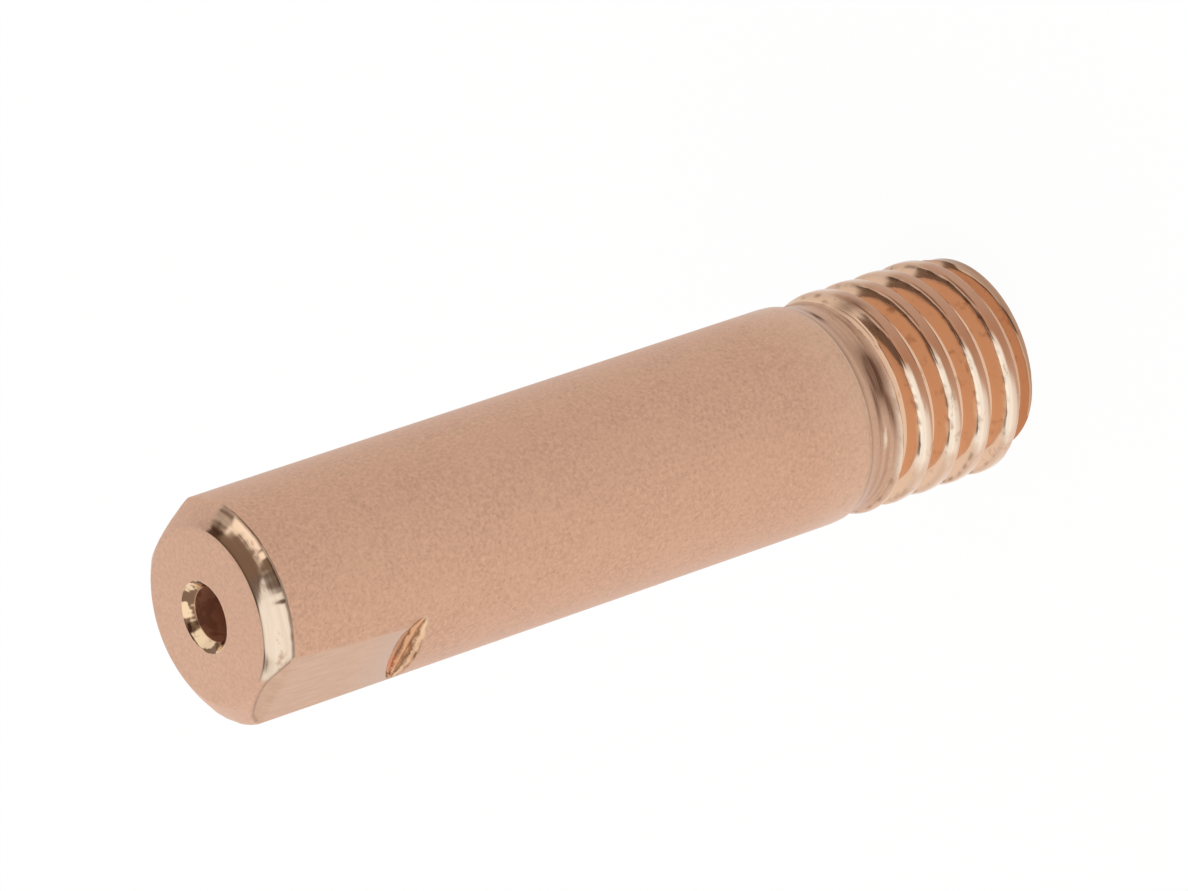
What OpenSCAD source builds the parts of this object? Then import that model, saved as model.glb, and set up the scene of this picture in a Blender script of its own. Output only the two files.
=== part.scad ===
/* [Barrel] */
// Outside diameter of the barrel
body_d = 5.9; // [5.6:0.05:9]
// Length over all, from the threaded end to the rim of the wire bore
total_len = 25; // [20:0.5:45]
// Length of the front chamfer along the axis
chamfer_len = 0.5; // [0.2:0.05:1]
// Width of the front chamfer across the radius
chamfer_width = 0.62; // [0.2:0.02:0.9]
// Rise of the turned front face from its edge to the bore
face_rise = 0.08; // [0.02:0.02:0.3]

/* [Wire bore] */
// Diameter of the bore that the wire runs through
bore_d = 1.4; // [0.7:0.05:1.8]
// Diameter of the countersunk mouth at the front
mouth_d = 1.86; // [1.82:0.02:2.6]
// Depth of the countersunk mouth
mouth_depth = 0.24; // [0.1:0.02:0.6]
// Diameter of the lead-in cone at the threaded end
lead_in_d = 2.8; // [2:0.1:3.6]
// Depth of the lead-in cone
lead_in_depth = 1.2; // [0.5:0.1:3]

/* [Spanner flats] */
// Distance across the two flats behind their broken front edge
flats_front = 5.2; // [4.2:0.05:5.5]
// Distance across the two flats at their inner end
flats_back = 5.42; // [4.4:0.02:5.55]
// Length of the flats from the front face
flats_len = 4.3; // [2:0.1:8]
// Length of the slope that leads from each flat up to the barrel
flats_slope = 0.55; // [0.2:0.05:1.5]
// Fall of each flat's broken front edge
break_drop = 0.2; // [0.05:0.01:0.4]
// Length by which the broken front edge reaches behind the chamfer
break_reach = 0.05; // [0.02:0.01:0.5]

/* [Thread] */
// Outside diameter of the thread
thread_d = 5.95; // [5:0.05:8]
// Length of the thread from the end face to the neck
thread_len = 4.6; // [3:0.1:10]
// Chamfer at the threaded end
end_chamfer = 0.45; // [0.2:0.05:0.8]

/* [Neck] */
// Depth of the shallow neck below the outside of the thread
neck_depth = 0.2; // [0.1:0.02:0.4]
// Length of the slope from the thread down to the neck
neck_fall = 0.25; // [0.1:0.05:0.6]
// Length of the plain bottom of the neck
neck_len = 0.3; // [0.1:0.05:1]
// Length of the slope from the neck up to the barrel
neck_rise = 0.78; // [0.3:0.02:1.5]

/* [Hidden] */
$fn = 96;

copper = [0.80, 0.58, 0.45];

body_r = body_d / 2;
thread_r = thread_d / 2;
neck_r = thread_r - neck_depth;
neck_start = thread_len + neck_fall;
shoulder_z = neck_start + neck_len + neck_rise;
face_edge_z = total_len - face_rise;

// Overshoot that carries a cut clear of the surface it opens
cut_over = 0.5;

// The turned outline, from the axis at the threaded end to the axis at the front
module turned_blank() {
    rotate_extrude()
    polygon([
        [0, 0],
        [thread_r - end_chamfer, 0],
        [thread_r, end_chamfer],
        [thread_r, thread_len],
        [neck_r, neck_start],
        [neck_r, neck_start + neck_len],
        [body_r, shoulder_z],
        [body_r, face_edge_z - chamfer_len],
        [body_r - chamfer_width, face_edge_z],
        [mouth_d / 2, total_len],
        [0, total_len]
    ]);
}

// Straight bore with a countersunk mouth in front and a lead-in cone behind
module wire_bore() {
    translate([0, 0, -cut_over])
    cylinder(h = total_len + 2 * cut_over, d = bore_d);

    mouth_slope = (mouth_d - bore_d) / 2 / mouth_depth;
    translate([0, 0, total_len - mouth_depth])
    cylinder(
        h = mouth_depth + cut_over,
        r1 = bore_d / 2,
        r2 = mouth_d / 2 + cut_over * mouth_slope
    );

    lead_slope = (lead_in_d - bore_d) / 2 / lead_in_depth;
    translate([0, 0, -cut_over])
    cylinder(
        h = lead_in_depth + cut_over,
        r1 = lead_in_d / 2 + cut_over * lead_slope,
        r2 = bore_d / 2
    );
}

// Cutter for the flat on the +X side: its broken front edge, the flat, and its slope up to the barrel
module flat_cut() {
    break_z = face_edge_z - chamfer_len - break_reach;
    back_z = total_len - flats_len;
    front_x = flats_front / 2;
    back_x = flats_back / 2;
    break_slope = break_drop / (total_len - break_z);
    slope_run = flats_slope / (body_r - back_x);
    rotate([90, 0, 0])
    linear_extrude(height = body_d + 2 * cut_over, center = true)
    polygon([
        [front_x - break_drop - cut_over * break_slope, total_len + cut_over],
        [front_x, break_z],
        [back_x, back_z],
        [body_r + cut_over, back_z - (body_r + cut_over - back_x) * slope_run],
        [body_r + cut_over, total_len + cut_over]
    ]);
}

module contact_tip() {
    color(copper)
    difference() {
        turned_blank();
        wire_bore();
        for (side = [0, 180])
            rotate([0, 0, side])
            flat_cut();
    }
}

contact_tip();
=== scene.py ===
import math
import bpy
from mathutils import Matrix, Vector, noise


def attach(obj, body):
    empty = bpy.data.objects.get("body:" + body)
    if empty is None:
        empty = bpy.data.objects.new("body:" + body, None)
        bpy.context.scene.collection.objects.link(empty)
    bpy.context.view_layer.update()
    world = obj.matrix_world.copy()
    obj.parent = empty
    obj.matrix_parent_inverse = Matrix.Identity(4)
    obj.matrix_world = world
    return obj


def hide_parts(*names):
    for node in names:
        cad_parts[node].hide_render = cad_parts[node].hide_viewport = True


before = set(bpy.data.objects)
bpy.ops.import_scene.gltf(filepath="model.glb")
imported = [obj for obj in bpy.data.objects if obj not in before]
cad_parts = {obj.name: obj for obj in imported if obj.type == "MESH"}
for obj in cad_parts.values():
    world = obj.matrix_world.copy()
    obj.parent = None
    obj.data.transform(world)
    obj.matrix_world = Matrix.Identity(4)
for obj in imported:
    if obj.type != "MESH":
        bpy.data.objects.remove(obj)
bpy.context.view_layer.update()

MM = 0.001

# Turned outline of the tip in millimetres, as in the CAD
BODY_R = 2.95
THREAD_R = 2.975
NECK_R = 2.775
TOTAL = 25.0
FACE_EDGE_Z = 24.92
FACE_EDGE_R = 2.33
CHAMFER_Z = 24.42
MOUTH_R = 0.93
MOUTH_DEPTH = 0.24
BORE_R = 0.7
LEAD_R = 1.4
LEAD_DEPTH = 1.2
END_CHAMFER = 0.45
THREAD_LEN = 4.6
NECK_START = 4.85
NECK_END = 5.15
SHOULDER_Z = 5.93

# Finer forms: the crisp edge at the foot of the barrel, and the chamfer's crown and worn edge
SHOULDER_LINE_Z = 5.69
SHOULDER_LINE_R = 2.932
CHAMFER_CROWN = 0.026
CHAMFER_OUT = 0.63
CHAMFER_UP = 0.78
WORN_FROM_Z = 24.22

# The barrel has closer rings between these heights, for the flats and their scoops
FLATS_FROM_Z = 19.9
SCOOPS_TO_Z = 21.3
NOSE_FROM_Z = 24.2

# Spanner flats: their lean, inner end, broken front edge, the near one's lip and soft edges
FLAT_FRONT = 2.6
FLAT_BACK = 2.71
FLAT_END_Z = 20.98
FLAT_BREAK_Z = 24.37
FLAT_BREAK_DROP = 0.2
FLAT_BREAK_SOFT = 0.03
FLAT_LIP = 2.447
FLAT_LIP_SLOPE = 0.61
FLAT_LIP_REACH = 0.9
FLAT_EDGE_SOFT = 0.035

# A point can lie on a flat only where its x is at least this share of its radius
FLAT_SHARE = 0.7

# The cutter's scoop at the end of each flat, and the start, run and share of each step in it
SCOOP_REACH = 1.36
SCOOP_CORNER = 0.85
SCOOP_REAR_Z = 20.17
SCOOP_FLOOR = 2.62
SCOOP_ENTRY = 0.1
SCOOP_STEPS = ((0.42, 0.1, 0.3), (0.66, 0.1, 0.35), (0.86, 0.14, 0.35))

# The thread: its section, where its groove runs out, and how ragged its crests are
PITCH = 1.0
CREST_FLAT = 0.06
CREST_ROUND = 0.17
ROOT_FLAT = 0.05
ROOT_ROUND = 0.08
FLANK_TILT = 64
GROOVE_PHASE = 0.175
GROOVE_END_Z = 4.95
GROOVE_FADE = 0.8
CREST_TEAR = 0.012
JOIN_Z = 4.98

# The nick on the neck: its turn in degrees, height, length, width and depth
NICK_TURN = 118
NICK_Z = 5.32
NICK_LENGTH = 0.3
NICK_WIDTH = 0.06
NICK_DEPTH = 0.05

LATHE_STEPS = 352
THREAD_STEPS = 176
CHAMFER_STEPS = 16
CREST_STEPS = 6
MERGE_WITHIN = 0.0005
CUT_WITHIN = 0.0001
SMOOTH_BELOW = 32

# The side of the tip that the photograph shows, as degrees of turn round the axis
PHOTO_SIDE = 63

# Marks kept on each point for the material
MARKS = (
    "cut", "pale", "groove", "milled", "faced", "inside", "mouth", "neck",
    "scoop", "stripe", "orange", "brown", "warm", "crest",
)

# Radius at which the thread's painted highlight strip, painted shade notches, groove and crest
# shade start
STRIP_EDGE_R = 2.86
EDGE_SHADE_R = 2.88
GROOVE_EDGE_R = 2.88
CREST_EDGE_R = 2.89

# Painted dark reflections and painted shade, as strength, turn and its spread, height, its climb
# per degree and its spread.
# In order: the neck's smear and its two strokes (painted dark reflections), the nick's two edges
# (painted shade in the nick), the groove's run-out (a painted dark reflection)
NECK_PAINTED_SHADE = (
    (1.7, 8, 15, 5.0, 0, 0.22),
    (1.1, -5, 14, 5.22, 0, 0.08),
    (1.2, -10, 15, 4.84, 0.004, 0.09),
    (1.4, 55, 7, 5.39, 0, 0.04),
    (1.4, 55, 7, 5.26, 0, 0.04),
    (1.0, 53, 8, 4.24, 0.015, 0.2),
)

# Shades of the satin skin: barrel, face, flats and neck
SATIN_DARK = (0.53, 0.312, 0.211, 1)
SATIN_LIGHT = (0.745, 0.453, 0.312, 1)
SATIN_MOTTLE = (0.69, 0.422, 0.285, 1)
SATIN_PIT = (0.42, 0.235, 0.155, 1)
FACE_DARK = (0.625, 0.385, 0.272, 1)
FACE_LIGHT = (0.80, 0.505, 0.36, 1)
MILLED_DARK = (0.60, 0.385, 0.272, 1)
MILLED_LIGHT = (0.67, 0.44, 0.315, 1)
MILLED_GREY = (0.63, 0.45, 0.355, 1)
NECK_TAN = (0.42, 0.225, 0.135, 1)
NECK_RING = (0.38, 0.20, 0.12, 1)
# Brown for stains, and for painted shade and painted dark reflections
STAIN_AND_SHADE_ON_SKIN = (0.12, 0.052, 0.03, 1)

# Shades of the bright cut copper: turned surfaces, pale edges, thread, mouth and bore
CUT_DARK = (0.66, 0.44, 0.31, 1)
CUT_LIGHT = (0.71, 0.485, 0.35, 1)
CUT_SMEAR = (0.42, 0.24, 0.15, 1)
PALE_DARK = (0.76, 0.60, 0.46, 1)
PALE_LIGHT = (0.84, 0.70, 0.56, 1)
# Painted highlight for the thread's pale strip
PAINTED_HIGHLIGHT_STRIP = (0.92, 0.77, 0.62, 1)
PALE_WARM = (0.97, 0.69, 0.48, 1)
GROOVE_COPPER = (0.775, 0.507, 0.345, 1)
GROOVE_LOW = (0.77, 0.49, 0.33, 1)
GROOVE_LAST = (0.68, 0.42, 0.275, 1)
# Painted shade for the thread's crests
CREST_PAINTED_SHADE = (0.45, 0.205, 0.112, 1)
MOUTH_COPPER = (0.86, 0.63, 0.41, 1)
# Blotches of painted dark reflection in the mouth
MOUTH_DARK_REFLECTION = (0.15, 0.07, 0.038, 1)
BORE_COPPER = (0.70, 0.26, 0.145, 1)
# Brown for stains, and for painted shade and painted dark reflections
STAIN_AND_SHADE_ON_CUT = (0.15, 0.07, 0.04, 1)

# The scoop's stripes from its front edge at 0 to its rear edge at 1, and its orange spot, a
# painted glint
SCOOP_SHADES = (
    (0.0, (0.24, 0.105, 0.05, 1)),
    (0.09, (0.58, 0.29, 0.153, 1)),
    (0.32, (0.63, 0.322, 0.173, 1)),
    (0.42, (0.23, 0.10, 0.048, 1)),
    (0.49, (0.73, 0.40, 0.222, 1)),
    (0.62, (0.70, 0.382, 0.209, 1)),
    (0.70, (0.28, 0.13, 0.062, 1)),
    (0.78, (0.88, 0.59, 0.38, 1)),
    (0.88, (0.82, 0.52, 0.33, 1)),
    (0.96, (0.26, 0.12, 0.062, 1)),
)
SCOOP_PAINTED_GLINT = (0.72, 0.20, 0.07, 1)

# The light tent's darker patches by turn, rise, reach and softness in degrees, and shade:
# its dim wall behind the object, a seam and its dark mouth above
TENT_WHITE = (1, 1, 1, 1)
TENT_DULL = (0.88, 0.88, 0.88, 1)
TENT_DIM = (0.48, 0.42, 0.38, 1)
TENT_SEAM = (0.26, 0.2, 0.17, 1)
TENT_DARK = (0.19, 0.14, 0.112, 1)
TENT_PATCHES = (
    (196, 14, 40, 12, TENT_DULL),
    (128, 8, 24, 7, TENT_DIM),
    (307, 56, 7.5, 4, TENT_SEAM),
    (170, 72, 24, 3, TENT_DARK),
    (184, 46, 9, 3, TENT_DARK),
    (86, 55, 13, 3, TENT_DARK),
)
FLOOR_LIT_FROM = -50


def spread(first, last, count):
    """Even steps from first to last, with last and without first."""
    return [first + (last - first) * i / count for i in range(1, count + 1)]


def soft_min(a, b, blend):
    gap = blend - abs(a - b)
    if gap <= 0:
        return min(a, b)
    return min(a, b) - gap * gap / (4 * blend)


def smooth(x):
    x = max(0.0, min(1.0, x))
    return x * x * (3 - 2 * x)


def hump(x, middle, width):
    """A soft hump of height 1."""
    away = (x - middle) / width
    return math.exp(-away * away)


def direction(turn_deg, rise_deg):
    turn = math.radians(turn_deg)
    rise = math.radians(rise_deg)
    flat = math.cos(rise)
    return Vector((math.cos(turn) * flat, math.sin(turn) * flat, math.sin(rise)))


def facing(x, y):
    """Turn of a point away from the side that the photograph shows, in degrees."""
    return (math.degrees(math.atan2(y, x)) - PHOTO_SIDE + 180) % 360 - 180


def deselect_all():
    if bpy.context.object and bpy.context.object.mode != "OBJECT":
        bpy.ops.object.mode_set(mode="OBJECT")
    bpy.ops.object.select_all(action="DESELECT")


def start_outline(name, x, z):
    """One loose point, made from a plane whose corners are merged."""
    deselect_all()
    bpy.ops.mesh.primitive_plane_add(size=1, location=(0, 0, 0))
    piece = bpy.context.object
    piece.name = name
    bpy.ops.object.mode_set(mode="EDIT")
    bpy.ops.mesh.select_all(action="SELECT")
    bpy.ops.mesh.merge(type="CENTER")
    bpy.ops.transform.translate(value=(x, 0, z))
    return piece


def draw_outline(points):
    """Extrudes the chosen point along the outline, given as radius and height."""
    here = points[0]
    for there in points[1:]:
        step = (there[0] - here[0], 0, there[1] - here[1])
        bpy.ops.mesh.extrude_region_move(TRANSFORM_OT_translate={"value": step})
        here = there


def neck_outline():
    """The neck, its slope up to the crisp edge, and the foot of the barrel."""
    points = [(NECK_R, JOIN_Z + 0.08), (NECK_R, 5.11), (NECK_R + 0.002, NECK_END)]
    for z in spread(NECK_END, SHOULDER_LINE_Z - 0.02, 15):
        rise = (z - NECK_END) / (SHOULDER_LINE_Z - NECK_END)
        points.append((NECK_R + (SHOULDER_LINE_R - NECK_R) * rise, z))
    points.append((SHOULDER_LINE_R, SHOULDER_LINE_Z))
    points.append((SHOULDER_LINE_R + 0.004, SHOULDER_LINE_Z + 0.03))
    points.append((BODY_R - 0.004, SHOULDER_Z - 0.06))
    points.append((BODY_R, SHOULDER_Z))
    points.append((BODY_R, SHOULDER_Z + 0.05))
    return points


def barrel_outline():
    """Rings up the plain barrel, closer together where the flats and scoops are cut."""
    heights = spread(SHOULDER_Z + 0.05, FLATS_FROM_Z, 9)
    heights += spread(FLATS_FROM_Z, SCOOPS_TO_Z, 64)
    heights += spread(SCOOPS_TO_Z, NOSE_FROM_Z, 14)
    heights += spread(NOSE_FROM_Z, CHAMFER_Z - 0.02, 6)
    return [(BODY_R, z) for z in heights]


def nose_outline():
    """The crowned chamfer and the face that rises to the bore's mouth."""
    points = [(BODY_R - 0.003, CHAMFER_Z - 0.003)]
    for i in range(1, CHAMFER_STEPS):
        t = i / CHAMFER_STEPS
        crown = CHAMFER_CROWN * 4 * t * (1 - t)
        r = BODY_R + (FACE_EDGE_R - BODY_R) * t + crown * CHAMFER_OUT
        z = CHAMFER_Z + (FACE_EDGE_Z - CHAMFER_Z) * t + crown * CHAMFER_UP
        points.append((r, z))
    points.append((FACE_EDGE_R + 0.012, FACE_EDGE_Z - 0.006))
    points.append((FACE_EDGE_R - 0.012, FACE_EDGE_Z + 0.001))
    for r in spread(FACE_EDGE_R - 0.012, MOUTH_R + 0.03, 9):
        rise = (FACE_EDGE_R - r) / (FACE_EDGE_R - MOUTH_R)
        points.append((r, FACE_EDGE_Z + (TOTAL - FACE_EDGE_Z) * rise))
    return points


def bore_outline():
    """The countersunk mouth, the straight bore and the lead-in cone."""
    points = [(MOUTH_R + 0.008, TOTAL - 0.001), (MOUTH_R - 0.008, TOTAL - 0.01)]
    for z in spread(TOTAL - 0.01, TOTAL - MOUTH_DEPTH, 8):
        t = (TOTAL - z) / MOUTH_DEPTH
        points.append((MOUTH_R + (BORE_R - MOUTH_R) * t, z))
    for z in spread(TOTAL - MOUTH_DEPTH, LEAD_DEPTH, 8):
        points.append((BORE_R, z))
    for z in spread(LEAD_DEPTH, 0, 4):
        points.append((LEAD_R - (LEAD_R - BORE_R) * z / LEAD_DEPTH, z))
    return points


def turn_barrel():
    """The barrel with its neck and bore, drawn as an outline and spun round the axis."""
    points = neck_outline() + barrel_outline() + nose_outline() + bore_outline()
    piece = start_outline("contact_tip_copper", points[0][0], points[0][1])
    draw_outline(points)
    bpy.ops.mesh.select_all(action="SELECT")
    bpy.ops.mesh.spin(
        steps=LATHE_STEPS, angle=2 * math.pi, center=(0, 0, 0), axis=(0, 0, 1)
    )
    bpy.ops.mesh.select_all(action="SELECT")
    bpy.ops.mesh.remove_doubles(threshold=MERGE_WITHIN)
    bpy.ops.object.mode_set(mode="OBJECT")
    return piece


def thread_section():
    """One groove from crest to crest, as depth below the crest and height from its centre."""
    flank = math.radians(FLANK_TILT)
    crest_z = CREST_FLAT - PITCH / 2
    points = [(0, -PITCH / 2)]
    for i in range(CREST_STEPS + 1):
        angle = flank * i / CREST_STEPS
        depth = CREST_ROUND * (1 - math.cos(angle))
        points.append((depth, crest_z + CREST_ROUND * math.sin(angle)))
    top_depth, top_z = points[-1]
    root_z = -ROOT_FLAT - ROOT_ROUND * math.sin(flank)
    root_depth = top_depth + (root_z - top_z) * math.tan(flank)
    for t in spread(0, 1, 5):
        depth = top_depth + (root_depth - top_depth) * t
        points.append((depth, top_z + (root_z - top_z) * t))
    for angle in (flank * 0.5, 0):
        drop = ROOT_ROUND * (math.cos(angle) - math.cos(flank))
        points.append((root_depth + drop, -ROOT_FLAT - ROOT_ROUND * math.sin(angle)))
    mirror = [(depth, -z) for depth, z in reversed(points)]
    return points + mirror


def stub_radius(z):
    """Outside of the threaded end before its groove is cut."""
    r = soft_min(THREAD_R, THREAD_R - END_CHAMFER + z, 0.04)
    fall = (z - THREAD_LEN) / (NECK_START - THREAD_LEN)
    slope = THREAD_R - (THREAD_R - NECK_R) * fall
    return max(NECK_R, soft_min(r, slope, 0.05))


def shape_thread_point(point):
    """Runs the groove out at the neck, chamfers the end and roughens the cut a little."""
    x, y, z = point.co
    turn = math.atan2(y, x) / (2 * math.pi)
    groove = round((z - GROOVE_PHASE) / PITCH - turn)
    groove_z = GROOVE_PHASE + (groove + turn) * PITCH
    fade = smooth((GROOVE_END_Z - groove_z) / (GROOVE_FADE * PITCH))
    depth = (THREAD_R - math.hypot(x, y)) * fade
    coarse = noise.noise(Vector((x * 2.2, y * 2.2, z * 5)))
    fine = noise.noise(Vector((x * 6, y * 6, z * 9)))
    tear = coarse + 0.6 * fine
    edge = smooth(depth / 0.03) * (1 - smooth((depth - 0.08) / 0.15))
    r = soft_min(stub_radius(z), THREAD_R - depth, 0.02) + tear * CREST_TEAR * edge
    r = min(r, THREAD_R)
    scale = r / math.hypot(x, y)
    point.co.x = x * scale
    point.co.y = y * scale


def cut_off(height, **side):
    """Cuts the chosen piece at a height and clears one side of the cut."""
    bpy.ops.mesh.select_all(action="SELECT")
    bpy.ops.mesh.bisect(
        plane_co=(0, 0, height), plane_no=(0, 0, 1), threshold=CUT_WITHIN, **side
    )


def cut_thread():
    """The threaded end: a groove's section, screwed round the axis and cut off at both ends."""
    turns_below = 2
    section = []
    for depth, z in thread_section():
        section.append((THREAD_R - depth, z + GROOVE_PHASE - turns_below * PITCH))
    piece = start_outline("thread", section[0][0], section[0][1])
    draw_outline(section)
    bpy.ops.object.mode_set(mode="OBJECT")
    screw = piece.modifiers.new("turns", "SCREW")
    screw.angle = 2 * math.pi
    screw.screw_offset = PITCH
    screw.iterations = 8
    screw.steps = THREAD_STEPS
    screw.render_steps = THREAD_STEPS
    screw.use_normal_calculate = False
    bpy.ops.object.modifier_apply(modifier=screw.name)
    bpy.ops.object.mode_set(mode="EDIT")
    bpy.ops.mesh.select_all(action="SELECT")
    bpy.ops.mesh.remove_doubles(threshold=MERGE_WITHIN)
    bpy.ops.object.mode_set(mode="OBJECT")
    for point in piece.data.vertices:
        shape_thread_point(point)
    bpy.ops.object.mode_set(mode="EDIT")
    cut_off(0, clear_inner=True)
    cut_off(JOIN_Z, clear_outer=True)
    bpy.ops.object.mode_set(mode="OBJECT")
    return piece


def scoop_edges(y):
    """Front and rear edge of the cutter's scoop, at a place across the flat."""
    corner = (abs(y) - SCOOP_CORNER) / (SCOOP_REACH - SCOOP_CORNER)
    corner = max(0.0, min(1.0, corner))
    turn_in = 1 - math.sqrt(1 - corner * corner)
    bow = 0.28 * ((y - 0.5) / 1.5) ** 2
    front = FLAT_END_Z - bow - 0.62 * turn_in
    rear = SCOOP_REAR_Z + 0.075 * (1 - y) + 0.05 * turn_in
    return max(front, rear + 0.02), rear


def scoop_distance(y, t):
    """Distance of the scoop from the axis, from its front edge at 0 to its rear edge at 1."""
    if t < SCOOP_STEPS[0][0]:
        return FLAT_BACK + (SCOOP_FLOOR - FLAT_BACK) * smooth(t / SCOOP_ENTRY)
    barrel = math.sqrt(BODY_R * BODY_R - y * y) + 0.02
    climb = sum(share * smooth((t - start) / run) for start, run, share in SCOOP_STEPS)
    past_rear = max(0.0, t - 1)
    return SCOOP_FLOOR + max(0.0, barrel - SCOOP_FLOOR) * climb + past_rear


def flat_distance(side, y, z):
    """Distance of a flat from the axis, with its broken front edge and its scooped end."""
    front_edge, rear_edge = scoop_edges(y)
    lean = (FLAT_BACK - FLAT_FRONT) / (FLAT_BREAK_Z - FLAT_END_Z)
    flat = FLAT_FRONT + (FLAT_BREAK_Z - z) * lean
    drop = FLAT_BREAK_DROP / (TOTAL - FLAT_BREAK_Z)
    front = FLAT_FRONT + (FLAT_BREAK_Z - z) * drop
    if side > 0:
        lip = max(FLAT_LIP, FLAT_FRONT + (FLAT_BREAK_Z - z) * FLAT_LIP_SLOPE)
        lip = min(front, lip)
        front += (lip - front) * smooth((FLAT_LIP_REACH - y) / FLAT_LIP_REACH)
    if z > front_edge:
        return soft_min(flat, front, FLAT_BREAK_SOFT)
    if abs(y) > SCOOP_REACH:
        return THREAD_R
    return scoop_distance(y, (front_edge - z) / (front_edge - rear_edge))


def mill_flats(piece):
    """Moves the points of the barrel and chamfer in to the two flats, with soft edges."""
    for point in piece.data.vertices:
        x, y, z = point.co
        r = math.hypot(x, y)
        if z < FLATS_FROM_Z or r < FACE_EDGE_R - 0.005:
            continue
        side = 1 if x > 0 else -1
        across = abs(x) / r
        if across < FLAT_SHARE:
            continue
        reach = flat_distance(side, y * side, z)
        new_r = soft_min(r, reach / across, FLAT_EDGE_SOFT)
        point.co.x = x * new_r / r
        point.co.y = y * new_r / r


def bridge_rims(piece, low_z, high_z):
    """Joins the two open rims that lie between two heights."""
    deselect_all()
    piece.select_set(True)
    bpy.context.view_layer.objects.active = piece
    bpy.ops.object.mode_set(mode="EDIT")
    bpy.ops.mesh.select_mode(type="EDGE")
    bpy.ops.mesh.select_all(action="DESELECT")
    bpy.ops.mesh.select_non_manifold(
        use_wire=False, use_multi_face=False, use_non_contiguous=False, use_verts=False
    )
    bpy.ops.object.mode_set(mode="OBJECT")
    mesh = piece.data
    for edge in mesh.edges:
        heights = [mesh.vertices[i].co.z for i in edge.vertices]
        if edge.select and not low_z < sum(heights) / 2 < high_z:
            edge.select = False
    bpy.ops.object.mode_set(mode="EDIT")
    bpy.ops.mesh.bridge_edge_loops()
    bpy.ops.mesh.select_all(action="DESELECT")
    bpy.ops.object.mode_set(mode="OBJECT")


def press_nick(piece):
    """A small nick pressed into the neck, longer round the neck than along it."""
    turn = math.radians(NICK_TURN)
    for point in piece.data.vertices:
        r = math.hypot(point.co.x, point.co.y)
        if r < FACE_EDGE_R:
            continue
        along = (math.atan2(point.co.y, point.co.x) - turn) * r
        fall = hump(along, 0, NICK_LENGTH) * hump(point.co.z, NICK_Z, NICK_WIDTH)
        if fall > 0.01:
            scale = 1 - NICK_DEPTH * fall / r
            point.co.x *= scale
            point.co.y *= scale


def wear_chamfer(piece):
    """Makes the outer edge of the front chamfer a little uneven."""
    for point in piece.data.vertices:
        x, y, z = point.co
        if z < WORN_FROM_Z or math.hypot(x, y) < FACE_EDGE_R + 0.03:
            continue
        weight = smooth((z - WORN_FROM_Z) / 0.15) * (1 - smooth((z - CHAMFER_Z) / 0.45))
        turn = Vector((x, y, 0)).normalized()
        point.co.z += weight * (0.03 * noise.noise(turn * 4) + 0.02 * noise.noise(turn * 13))


def mark_neck(note, turn, z):
    """Painted dark reflections and painted shade on neck and groove, a dark line under the
    barrel's foot, and painted highlights: a light spot and a light rim on the crisp edge.
    """
    brown = 0.45 * hump(z, SHOULDER_LINE_Z - 0.06, 0.035)
    for strength, middle, wide, height, climb, high in NECK_PAINTED_SHADE:
        level = height + climb * (turn - middle)
        brown = max(brown, strength * hump(turn, middle, wide) * hump(z, level, high))
    # Painted highlights: a light spot, and a light rim on the lit part of the crisp edge
    glint = hump(turn, -27, 7) * hump(z, 5.08, 0.07)
    lit_part = smooth((turn + 18) / 12) * smooth((58 - turn) / 12)
    rim = 0.6 * hump(z, SHOULDER_LINE_Z + 0.005, 0.03) * lit_part
    note["pale"] = max(note["pale"], glint, rim)
    note["cut"] = max(note["cut"], glint, rim)
    return brown * (1 - glint)


def mark_thread(note, point, r):
    """The threaded end: brown painted shade on the crests, a pale painted highlight strip
    towards the nose, and a redder groove.
    """
    x, y, z = point.co
    turn = facing(x, y)
    lean = point.normal.z
    ragged = noise.noise(Vector((x * 4, y * 4, z * 6)))
    below_neck = 1 - smooth((z - 4.65) / 0.2)
    note["cut"] = 1 - 0.7 * smooth((z - 4.5) / 0.3)
    note["neck"] = smooth((z - 4.55) / 0.2) * (1 - smooth((z - SHOULDER_LINE_Z) / 0.05))
    note["groove"] = smooth((GROOVE_EDGE_R - r) / 0.05) * below_neck

    # Painted highlight: the pale strip widens down the lit side
    lit_side = smooth((turn + 58 + 6 * ragged) / 14) * smooth((12 + 6 * ragged - turn) / 14)
    strip_low = STRIP_EDGE_R - 0.002 * min(32, max(0, 6 - turn)) + 0.03 * ragged
    nose_side = smooth((lean - 0.02 + 0.14 * smooth((-3 - turn) / 22)) / 0.22)
    note["pale"] = smooth((r - strip_low) / 0.04) * nose_side * lit_side * below_neck

    # Painted shade: the rest of the crest is darker brown on the upper side
    upper = smooth((turn + 42) / 25) * (1 - smooth((turn - 62) / 10))
    crest_shade_strength = 0.65 + 0.35 * hump(turn, 8, 18)
    on_crest = smooth((r - CREST_EDGE_R) / 0.04)
    note["crest"] = crest_shade_strength * on_crest * (1 - nose_side * lit_side) * upper * below_neck

    # Painted shade along the crests' edges, ragged like notches, and a dark rim at the end
    toward_nose = smooth((lean + 0.35) / 0.2)
    edge_shade = 0.75 * smooth((ragged - 0.05) / 0.3) * hump(r, EDGE_SHADE_R, 0.04)
    edge_shade *= toward_nose * below_neck
    end_rim = 0.55 * hump(r, stub_radius(z), 0.03) * (1 - smooth((z - 0.36) / 0.08))
    note["brown"] = min(1.0, max(edge_shade, end_rim, mark_neck(note, turn, z)))


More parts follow.
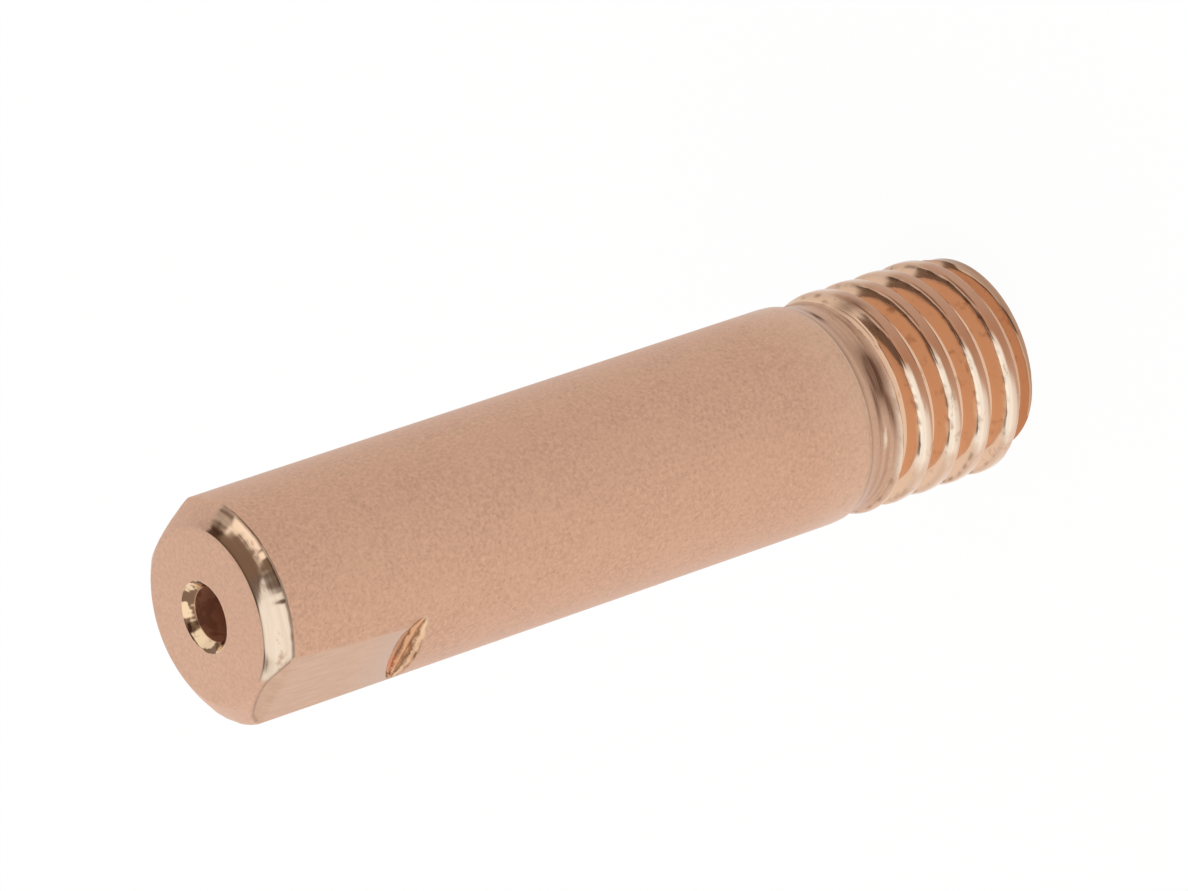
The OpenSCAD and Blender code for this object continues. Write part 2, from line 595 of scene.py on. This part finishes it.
def mark_chamfer(note, point):
    """The front chamfer: bright cut where the photograph shows it, satin elsewhere."""
    x, y, z = point.co
    turn = facing(x, y)
    ragged = 3 * noise.noise(Vector((x * 5, y * 5, z * 9)))
    window = smooth((turn + 56 + ragged) / 6) * smooth((60 + ragged - turn) / 4)
    note["cut"] = window
    note["pale"] = window
    note["warm"] = window * smooth((turn - 8) / 10)
    note["faced"] = 1.0
    near_barrel = 1 - smooth((abs(z - CHAMFER_Z) - 0.02) / 0.045)
    near_face = 1 - smooth((abs(z - FACE_EDGE_Z) - 0.006) / 0.03)
    # The brown at the chamfer's upper end is a painted dark reflection
    upper_end_reflection = smooth((turn - 44 + ragged) / 4)
    note["brown"] = window * max(near_barrel, 0.8 * near_face, 0.9 * upper_end_reflection)


def mark_bore(note, z):
    """The bright mouth and the dark inside of the bore."""
    note["cut"] = 1.0
    note["inside"] = smooth((TOTAL - MOUTH_DEPTH + 0.02 - z) / 0.05)
    note["mouth"] = 1 - note["inside"]


def mark_flat(note, point, r):
    """The milled flats, the scoops at their ends and the brown line at their front edge."""
    x, y, z = point.co
    across = abs(x) / r
    if across < FLAT_SHARE:
        return
    side = 1 if x > 0 else -1
    front_edge, rear_edge = scoop_edges(y * side)
    in_scoop = 0.0
    if abs(y) <= SCOOP_REACH and z <= front_edge + 0.02:
        in_scoop = smooth((BODY_R - r - 0.006) / 0.02)
        stripe = (front_edge - z) / (front_edge - rear_edge)
        note["scoop"] = in_scoop
        note["stripe"] = stripe
        # The orange spot is a painted glint
        note["orange"] = hump(y * side, -0.55, 0.3) * hump(stripe, 0.2, 0.22)
    chamfer_fall = max(0, z - CHAMFER_Z) / (FACE_EDGE_Z - CHAMFER_Z)
    cone = BODY_R + (FACE_EDGE_R - BODY_R) * chamfer_fall
    gap = cone - flat_distance(side, y * side, z) / across
    on_flat = smooth((gap + 0.02) / 0.03) * (1 - in_scoop)
    note["milled"] = on_flat
    note["cut"] = max(note["cut"] * (1 - on_flat), in_scoop)
    note["pale"] *= 1 - on_flat
    note["brown"] *= 1 - on_flat
    if z > CHAMFER_Z + 0.04:
        front_line = 0.55 * hump(gap, 0, 0.04) * (1 - note["warm"])
        note["brown"] = max(note["brown"], front_line)


def mark_finish(piece):
    """Notes on each point how it was finished, for the material."""
    mesh = piece.data
    notes = {name: [] for name in MARKS}
    for point in mesh.vertices:
        x, y, z = point.co
        r = math.hypot(x, y)
        note = dict.fromkeys(MARKS, 0.0)
        if r < MOUTH_R + 0.02 and z > 0.001:
            mark_bore(note, z)
        elif z < SHOULDER_Z + 0.09:
            mark_thread(note, point, r)
        elif z > CHAMFER_Z - 0.01 and r > FACE_EDGE_R - 0.005:
            mark_chamfer(note, point)
        elif z > FACE_EDGE_Z:
            note["faced"] = 1.0
        if z > FLATS_FROM_Z and r > FACE_EDGE_R:
            mark_flat(note, point, r)
        for name, value in note.items():
            notes[name].append(value)
    for name, values in notes.items():
        mesh.attributes.new(name, "FLOAT", "POINT")
        mesh.attributes[name].data.foreach_set("value", values)


def make_tip():
    """The whole tip as one closed mesh, marked for its material and scaled to metres."""
    barrel = turn_barrel()
    mill_flats(barrel)
    thread = cut_thread()
    deselect_all()
    thread.select_set(True)
    barrel.select_set(True)
    bpy.context.view_layer.objects.active = barrel
    bpy.ops.object.join()
    bridge_rims(barrel, JOIN_Z - 0.05, JOIN_Z + 0.15)
    bridge_rims(barrel, -0.05, 0.05)
    press_nick(barrel)
    bpy.ops.object.mode_set(mode="EDIT")
    bpy.ops.mesh.select_all(action="SELECT")
    bpy.ops.mesh.normals_make_consistent(inside=False)
    bpy.ops.mesh.select_all(action="DESELECT")
    bpy.ops.object.mode_set(mode="OBJECT")
    mark_finish(barrel)
    wear_chamfer(barrel)
    barrel.scale = (MM, MM, MM)
    bpy.ops.object.transform_apply(location=True, rotation=True, scale=True)
    bpy.ops.object.shade_smooth_by_angle(angle=math.radians(SMOOTH_BELOW))
    return barrel


class Wiring:
    """Adds shader nodes to one tree and joins them up."""

    def __init__(self, tree):
        self.tree = tree
        self.place = 0

    def add(self, kind, **settings):
        node = self.tree.nodes.new(kind)
        node.location = (self.place * 190, 0)
        self.place += 1
        for key, value in settings.items():
            setattr(node, key, value)
        return node

    def join(self, source, target):
        self.tree.links.new(source, target)

    def put(self, socket, value):
        if isinstance(value, bpy.types.NodeSocket):
            self.join(value, socket)
        else:
            socket.default_value = value

    def math(self, operation, a, b, clamp=False):
        node = self.add("ShaderNodeMath", operation=operation, use_clamp=clamp)
        self.put(node.inputs[0], a)
        self.put(node.inputs[1], b)
        return node.outputs[0]

    def dot(self, vector, way):
        node = self.add("ShaderNodeVectorMath", operation="DOT_PRODUCT")
        self.join(vector, node.inputs[0])
        node.inputs[1].default_value = way
        return node.outputs["Value"]

    def mix_colour(self, factor, a, b):
        node = self.add("ShaderNodeMix", data_type="RGBA", blend_type="MIX")
        self.put(node.inputs["Factor"], factor)
        self.put(node.inputs[6], a)
        self.put(node.inputs[7], b)
        return node.outputs[2]

    def mix_value(self, factor, a, b):
        node = self.add("ShaderNodeMix", data_type="FLOAT")
        self.put(node.inputs["Factor"], factor)
        self.put(node.inputs[2], a)
        self.put(node.inputs[3], b)
        return node.outputs[0]

    def range(self, value, low, high, new_low=0.0, new_high=1.0):
        node = self.add("ShaderNodeMapRange")
        self.put(node.inputs["Value"], value)
        node.inputs["From Min"].default_value = low
        node.inputs["From Max"].default_value = high
        node.inputs["To Min"].default_value = new_low
        node.inputs["To Max"].default_value = new_high
        return node.outputs[0]

    def grain(self, vector, scale, detail, rough=0.55):
        node = self.add("ShaderNodeTexNoise")
        self.join(vector, node.inputs["Vector"])
        node.inputs["Scale"].default_value = scale
        node.inputs["Detail"].default_value = detail
        node.inputs["Roughness"].default_value = rough
        return node.outputs["Fac"]

    def stretch(self, vector, across, along):
        node = self.add("ShaderNodeMapping")
        self.join(vector, node.inputs["Vector"])
        node.inputs["Scale"].default_value = (across, across, along)
        return node.outputs[0]

    def height(self, vector):
        node = self.add("ShaderNodeSeparateXYZ")
        self.join(vector, node.inputs[0])
        return node.outputs["Z"]

    def attribute(self, name):
        return self.add("ShaderNodeAttribute", attribute_name=name).outputs["Fac"]


def satin_skin(wires, place, height, speckle, mark):
    """Colour of the satin surfaces: barrel, face, milled flats and neck."""
    # Fine speckle, slow mottling and scattered dark pits
    tone = wires.range(speckle, 0.3, 0.7)
    mottle = wires.range(wires.grain(place, 0.7, 3.0, 0.5), 0.35, 0.65, 0.0, 0.35)
    pits = wires.range(wires.grain(place, 12.0, 2.0, 0.5), 0.58, 0.70)
    satin = wires.mix_colour(tone, SATIN_DARK, SATIN_LIGHT)
    satin = wires.mix_colour(mottle, satin, SATIN_MOTTLE)
    satin = wires.mix_colour(wires.math("MULTIPLY", pits, 0.4), satin, SATIN_PIT)
    face = wires.mix_colour(tone, FACE_DARK, FACE_LIGHT)
    satin = wires.mix_colour(mark["faced"], satin, face)

    # Flats: paler, with faint strokes, and greyer at their inner end
    strokes = wires.grain(wires.stretch(place, 9.0, 1.2), 1.0, 2.0)
    flat = wires.mix_colour(wires.range(strokes, 0.3, 0.7), MILLED_DARK, MILLED_LIGHT)
    inner = wires.range(height, 22.2, 21.0, 0.0, 0.8)
    flat = wires.mix_colour(inner, flat, MILLED_GREY)
    skin = wires.mix_colour(mark["milled"], satin, flat)

    # Neck: thin turned lines
    rings = wires.grain(wires.stretch(place, 0.25, 8.0), 1.0, 3.0, 0.7)
    rings = wires.range(rings, 0.50, 0.60, 0.0, 0.75)
    skin = wires.mix_colour(wires.math("MULTIPLY", mark["neck"], 0.3), skin, NECK_TAN)
    return wires.mix_colour(wires.math("MULTIPLY", rings, mark["neck"]), skin, NECK_RING)


def cut_copper(wires, place, height, lines, mark):
    """Colour of the bright cut surfaces: thread, chamfer, mouth and bore."""
    tone = wires.range(lines, 0.35, 0.65)
    bright = wires.mix_colour(tone, CUT_DARK, CUT_LIGHT)

    # The thread's groove, darker towards the end of the tip, and painted shade on its crests
    deep = wires.mix_colour(wires.range(height, 0.9, 0.5), GROOVE_COPPER, GROOVE_LOW)
    deep = wires.mix_colour(wires.range(height, 0.46, 0.34), deep, GROOVE_LAST)
    bright = wires.mix_colour(mark["groove"], bright, deep)
    bright = wires.mix_colour(mark["crest"], bright, CREST_PAINTED_SHADE)

    # Pale edges: creamier on the thread, where they are a painted highlight, and warmer on the
    # chamfer's upper part
    pale = wires.mix_colour(tone, PALE_DARK, PALE_LIGHT)
    pale = wires.mix_colour(wires.range(height, 6.0, 5.0), pale, PAINTED_HIGHLIGHT_STRIP)
    pale = wires.mix_colour(mark["warm"], pale, PALE_WARM)
    bright = wires.mix_colour(mark["pale"], bright, pale)
    smears = wires.grain(wires.stretch(place, 1.6, 4.0), 1.0, 4.0, 0.65)
    bright = wires.mix_colour(wires.range(smears, 0.58, 0.70, 0.0, 0.6), bright, CUT_SMEAR)

    # The bore's mouth, with blotches of painted dark reflection, and its inside
    dark_reflection = wires.range(wires.grain(place, 2.8, 2.0), 0.48, 0.56, 0.0, 0.9)
    dark_reflection = wires.math("MULTIPLY", dark_reflection, mark["mouth"])
    bright = wires.mix_colour(mark["mouth"], bright, MOUTH_COPPER)
    bright = wires.mix_colour(dark_reflection, bright, MOUTH_DARK_REFLECTION)
    return wires.mix_colour(mark["inside"], bright, BORE_COPPER)


def scoop_stripes(wires, place, mark):
    """Colour of the scoop at the end of a flat: the cutter's stripes, tan, brown and cream, and
    an orange spot that is a painted glint.
    """
    wander = wires.range(wires.grain(place, 3.0, 2.0), 0.3, 0.7, -0.05, 0.05)
    ramp = wires.add("ShaderNodeValToRGB")
    wires.join(wires.math("ADD", mark["stripe"], wander), ramp.inputs[0])
    stops = ramp.color_ramp.elements
    while len(stops) < len(SCOOP_SHADES):
        stops.new(1.0)
    for stop, (at, shade) in zip(stops, SCOOP_SHADES):
        stop.position = at
        stop.color = shade
    # The orange spot is a painted glint
    spot = wires.math("MULTIPLY", mark["orange"], 0.9)
    return wires.mix_colour(spot, ramp.outputs["Color"], SCOOP_PAINTED_GLINT)


def copper_material():
    """Copper: satin on the barrel, bright where it was cut, dark red in the bore."""
    material = bpy.data.materials.new("tip_copper")
    material.use_nodes = True
    wires = Wiring(material.node_tree)
    shader = material.node_tree.nodes["Principled BSDF"]
    metres = wires.add("ShaderNodeTexCoord").outputs["Object"]
    place = wires.stretch(metres, 1 / MM, 1 / MM)
    height = wires.height(place)
    mark = {name: wires.attribute(name) for name in MARKS}
    speckle = wires.grain(place, 10.0, 3.0, 0.65)
    lines = wires.grain(wires.stretch(place, 0.35, 13.0), 1.0, 3.0, 0.6)

    # Brown marks are streaked along the turning lines: some are stains, the rest painted shade
    # and painted dark reflections
    streaks = wires.range(lines, 0.38, 0.64, 1.0, 0.6)
    stain_and_shade = wires.math("MULTIPLY", mark["brown"], streaks, clamp=True)
    skin = satin_skin(wires, place, height, speckle, mark)
    skin = wires.mix_colour(stain_and_shade, skin, STAIN_AND_SHADE_ON_SKIN)
    bright = cut_copper(wires, place, height, lines, mark)
    bright = wires.mix_colour(mark["scoop"], bright, scoop_stripes(wires, place, mark))
    bright = wires.mix_colour(stain_and_shade, bright, STAIN_AND_SHADE_ON_CUT)
    wires.join(wires.mix_colour(mark["cut"], skin, bright), shader.inputs["Base Color"])
    wires.join(wires.mix_value(mark["inside"], 1.0, 0.3), shader.inputs["Metallic"])

    satin_rough = wires.range(speckle, 0.3, 0.7, 0.40, 0.50)
    bright_rough = wires.range(lines, 0.3, 0.7, 0.08, 0.16)
    bright_rough = wires.mix_value(mark["inside"], bright_rough, 0.6)
    bright_rough = wires.mix_value(mark["scoop"], bright_rough, 0.32)
    rough = wires.mix_value(mark["cut"], satin_rough, bright_rough)
    wires.join(rough, shader.inputs["Roughness"])

    bump = wires.add("ShaderNodeBump")
    bump.inputs["Strength"].default_value = 0.5
    bump.inputs["Distance"].default_value = 0.000004
    wires.join(wires.mix_value(mark["cut"], speckle, lines), bump.inputs["Height"])
    wires.join(bump.outputs["Normal"], shader.inputs["Normal"])
    return material


def floor_material():
    """Pale floor that shows white to the camera and in the metal, and keeps a soft shadow."""
    material = bpy.data.materials.new("pale_floor")
    material.use_nodes = True
    tree = material.node_tree
    tree.nodes.clear()
    wires = Wiring(tree)
    path = wires.add("ShaderNodeLightPath").outputs
    seen = wires.math("MAXIMUM", path["Is Camera Ray"], path["Is Glossy Ray"])
    seen = wires.math("MAXIMUM", seen, path["Is Transmission Ray"])
    plain = wires.add("ShaderNodeBsdfDiffuse")
    plain.inputs["Color"].default_value = (0.8, 0.8, 0.8, 1)
    veil = wires.add("ShaderNodeBsdfDiffuse")
    veil.inputs["Color"].default_value = (0.07, 0.07, 0.07, 1)

    # In the metal, the floor is a little lighter on one side
    place = wires.add("ShaderNodeTexCoord").outputs["Object"]
    toward = wires.add("ShaderNodeVectorMath", operation="NORMALIZE")
    wires.join(place, toward.inputs[0])
    side = wires.dot(toward.outputs["Vector"], direction(FLOOR_LIT_FROM, 0))
    lit = wires.range(side, -1, 1, 0.84, 1.02)
    glow = wires.add("ShaderNodeEmission")
    wires.join(wires.mix_value(path["Is Glossy Ray"], 0.945, lit), glow.inputs["Strength"])
    both = wires.add("ShaderNodeAddShader")
    wires.join(glow.outputs[0], both.inputs[0])
    wires.join(veil.outputs[0], both.inputs[1])
    mix = wires.add("ShaderNodeMixShader")
    wires.join(seen, mix.inputs[0])
    wires.join(plain.outputs[0], mix.inputs[1])
    wires.join(both.outputs[0], mix.inputs[2])
    out = wires.add("ShaderNodeOutputMaterial")
    wires.join(mix.outputs[0], out.inputs["Surface"])
    return material


def lay_floor():
    deselect_all()
    bpy.ops.mesh.primitive_circle_add(
        vertices=64, radius=1.5, fill_type="NGON", location=(0, 0, 0)
    )
    floor = bpy.context.object
    floor.name = "floor"
    floor.data.materials.append(floor_material())


def light_tent():
    """White light from all round, with the tent's dark mouth above and a dimmer wall behind."""
    world = bpy.data.worlds.new("light_tent")
    world.use_nodes = True
    bpy.context.scene.world = world
    wires = Wiring(world.node_tree)
    background = world.node_tree.nodes["Background"]
    way = wires.add("ShaderNodeTexCoord").outputs["Generated"]
    colour = TENT_WHITE
    for turn, rise, reach, soft, shade in TENT_PATCHES:
        low = math.cos(math.radians(reach + soft / 2))
        high = math.cos(math.radians(reach - soft / 2))
        patch = wires.range(wires.dot(way, direction(turn, rise)), low, high)
        colour = wires.mix_colour(patch, colour, shade)
    wires.join(colour, background.inputs["Color"])


def add_softbox(turn_deg, rise_deg, away, size, power):
    """A round lamp aimed at the middle of the tip."""
    way = direction(turn_deg, rise_deg)
    middle = Vector((0, 0, TOTAL / 2 * MM))
    deselect_all()
    bpy.ops.object.light_add(type="AREA", location=way * away + middle)
    lamp = bpy.context.object
    lamp.rotation_euler = way.to_track_quat("Z", "Y").to_euler()
    lamp.data.shape = "DISK"
    lamp.data.size = size
    lamp.data.energy = power


def set_camera():
    """Camera at the photograph's place, turn and lens."""
    deselect_all()
    bpy.ops.object.camera_add()
    camera = bpy.context.object
    right = Vector((0.53095, 0.33993, -0.77623))
    up = Vector((-0.76150, 0.59325, -0.26108))
    back = Vector((0.37175, 0.72972, 0.57385))
    eye = Vector((80.207, 159.551, 137.288)) * MM
    turn = Matrix((right, up, back)).transposed()
    camera.matrix_world = Matrix.Translation(eye) @ turn.to_4x4()
    camera.data.sensor_width = 36
    camera.data.lens = 257.58
    camera.data.clip_start = 0.01
    camera.data.clip_end = 10
    bpy.context.scene.camera = camera


set_camera()
tip = make_tip()
tip.data.materials.append(copper_material())
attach(tip, "root")
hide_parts("contact_tip")
lay_floor()
light_tent()
add_softbox(turn_deg=8, rise_deg=61, away=0.25, size=0.2, power=0.01)

bpy.context.scene.view_settings.view_transform = "Standard"
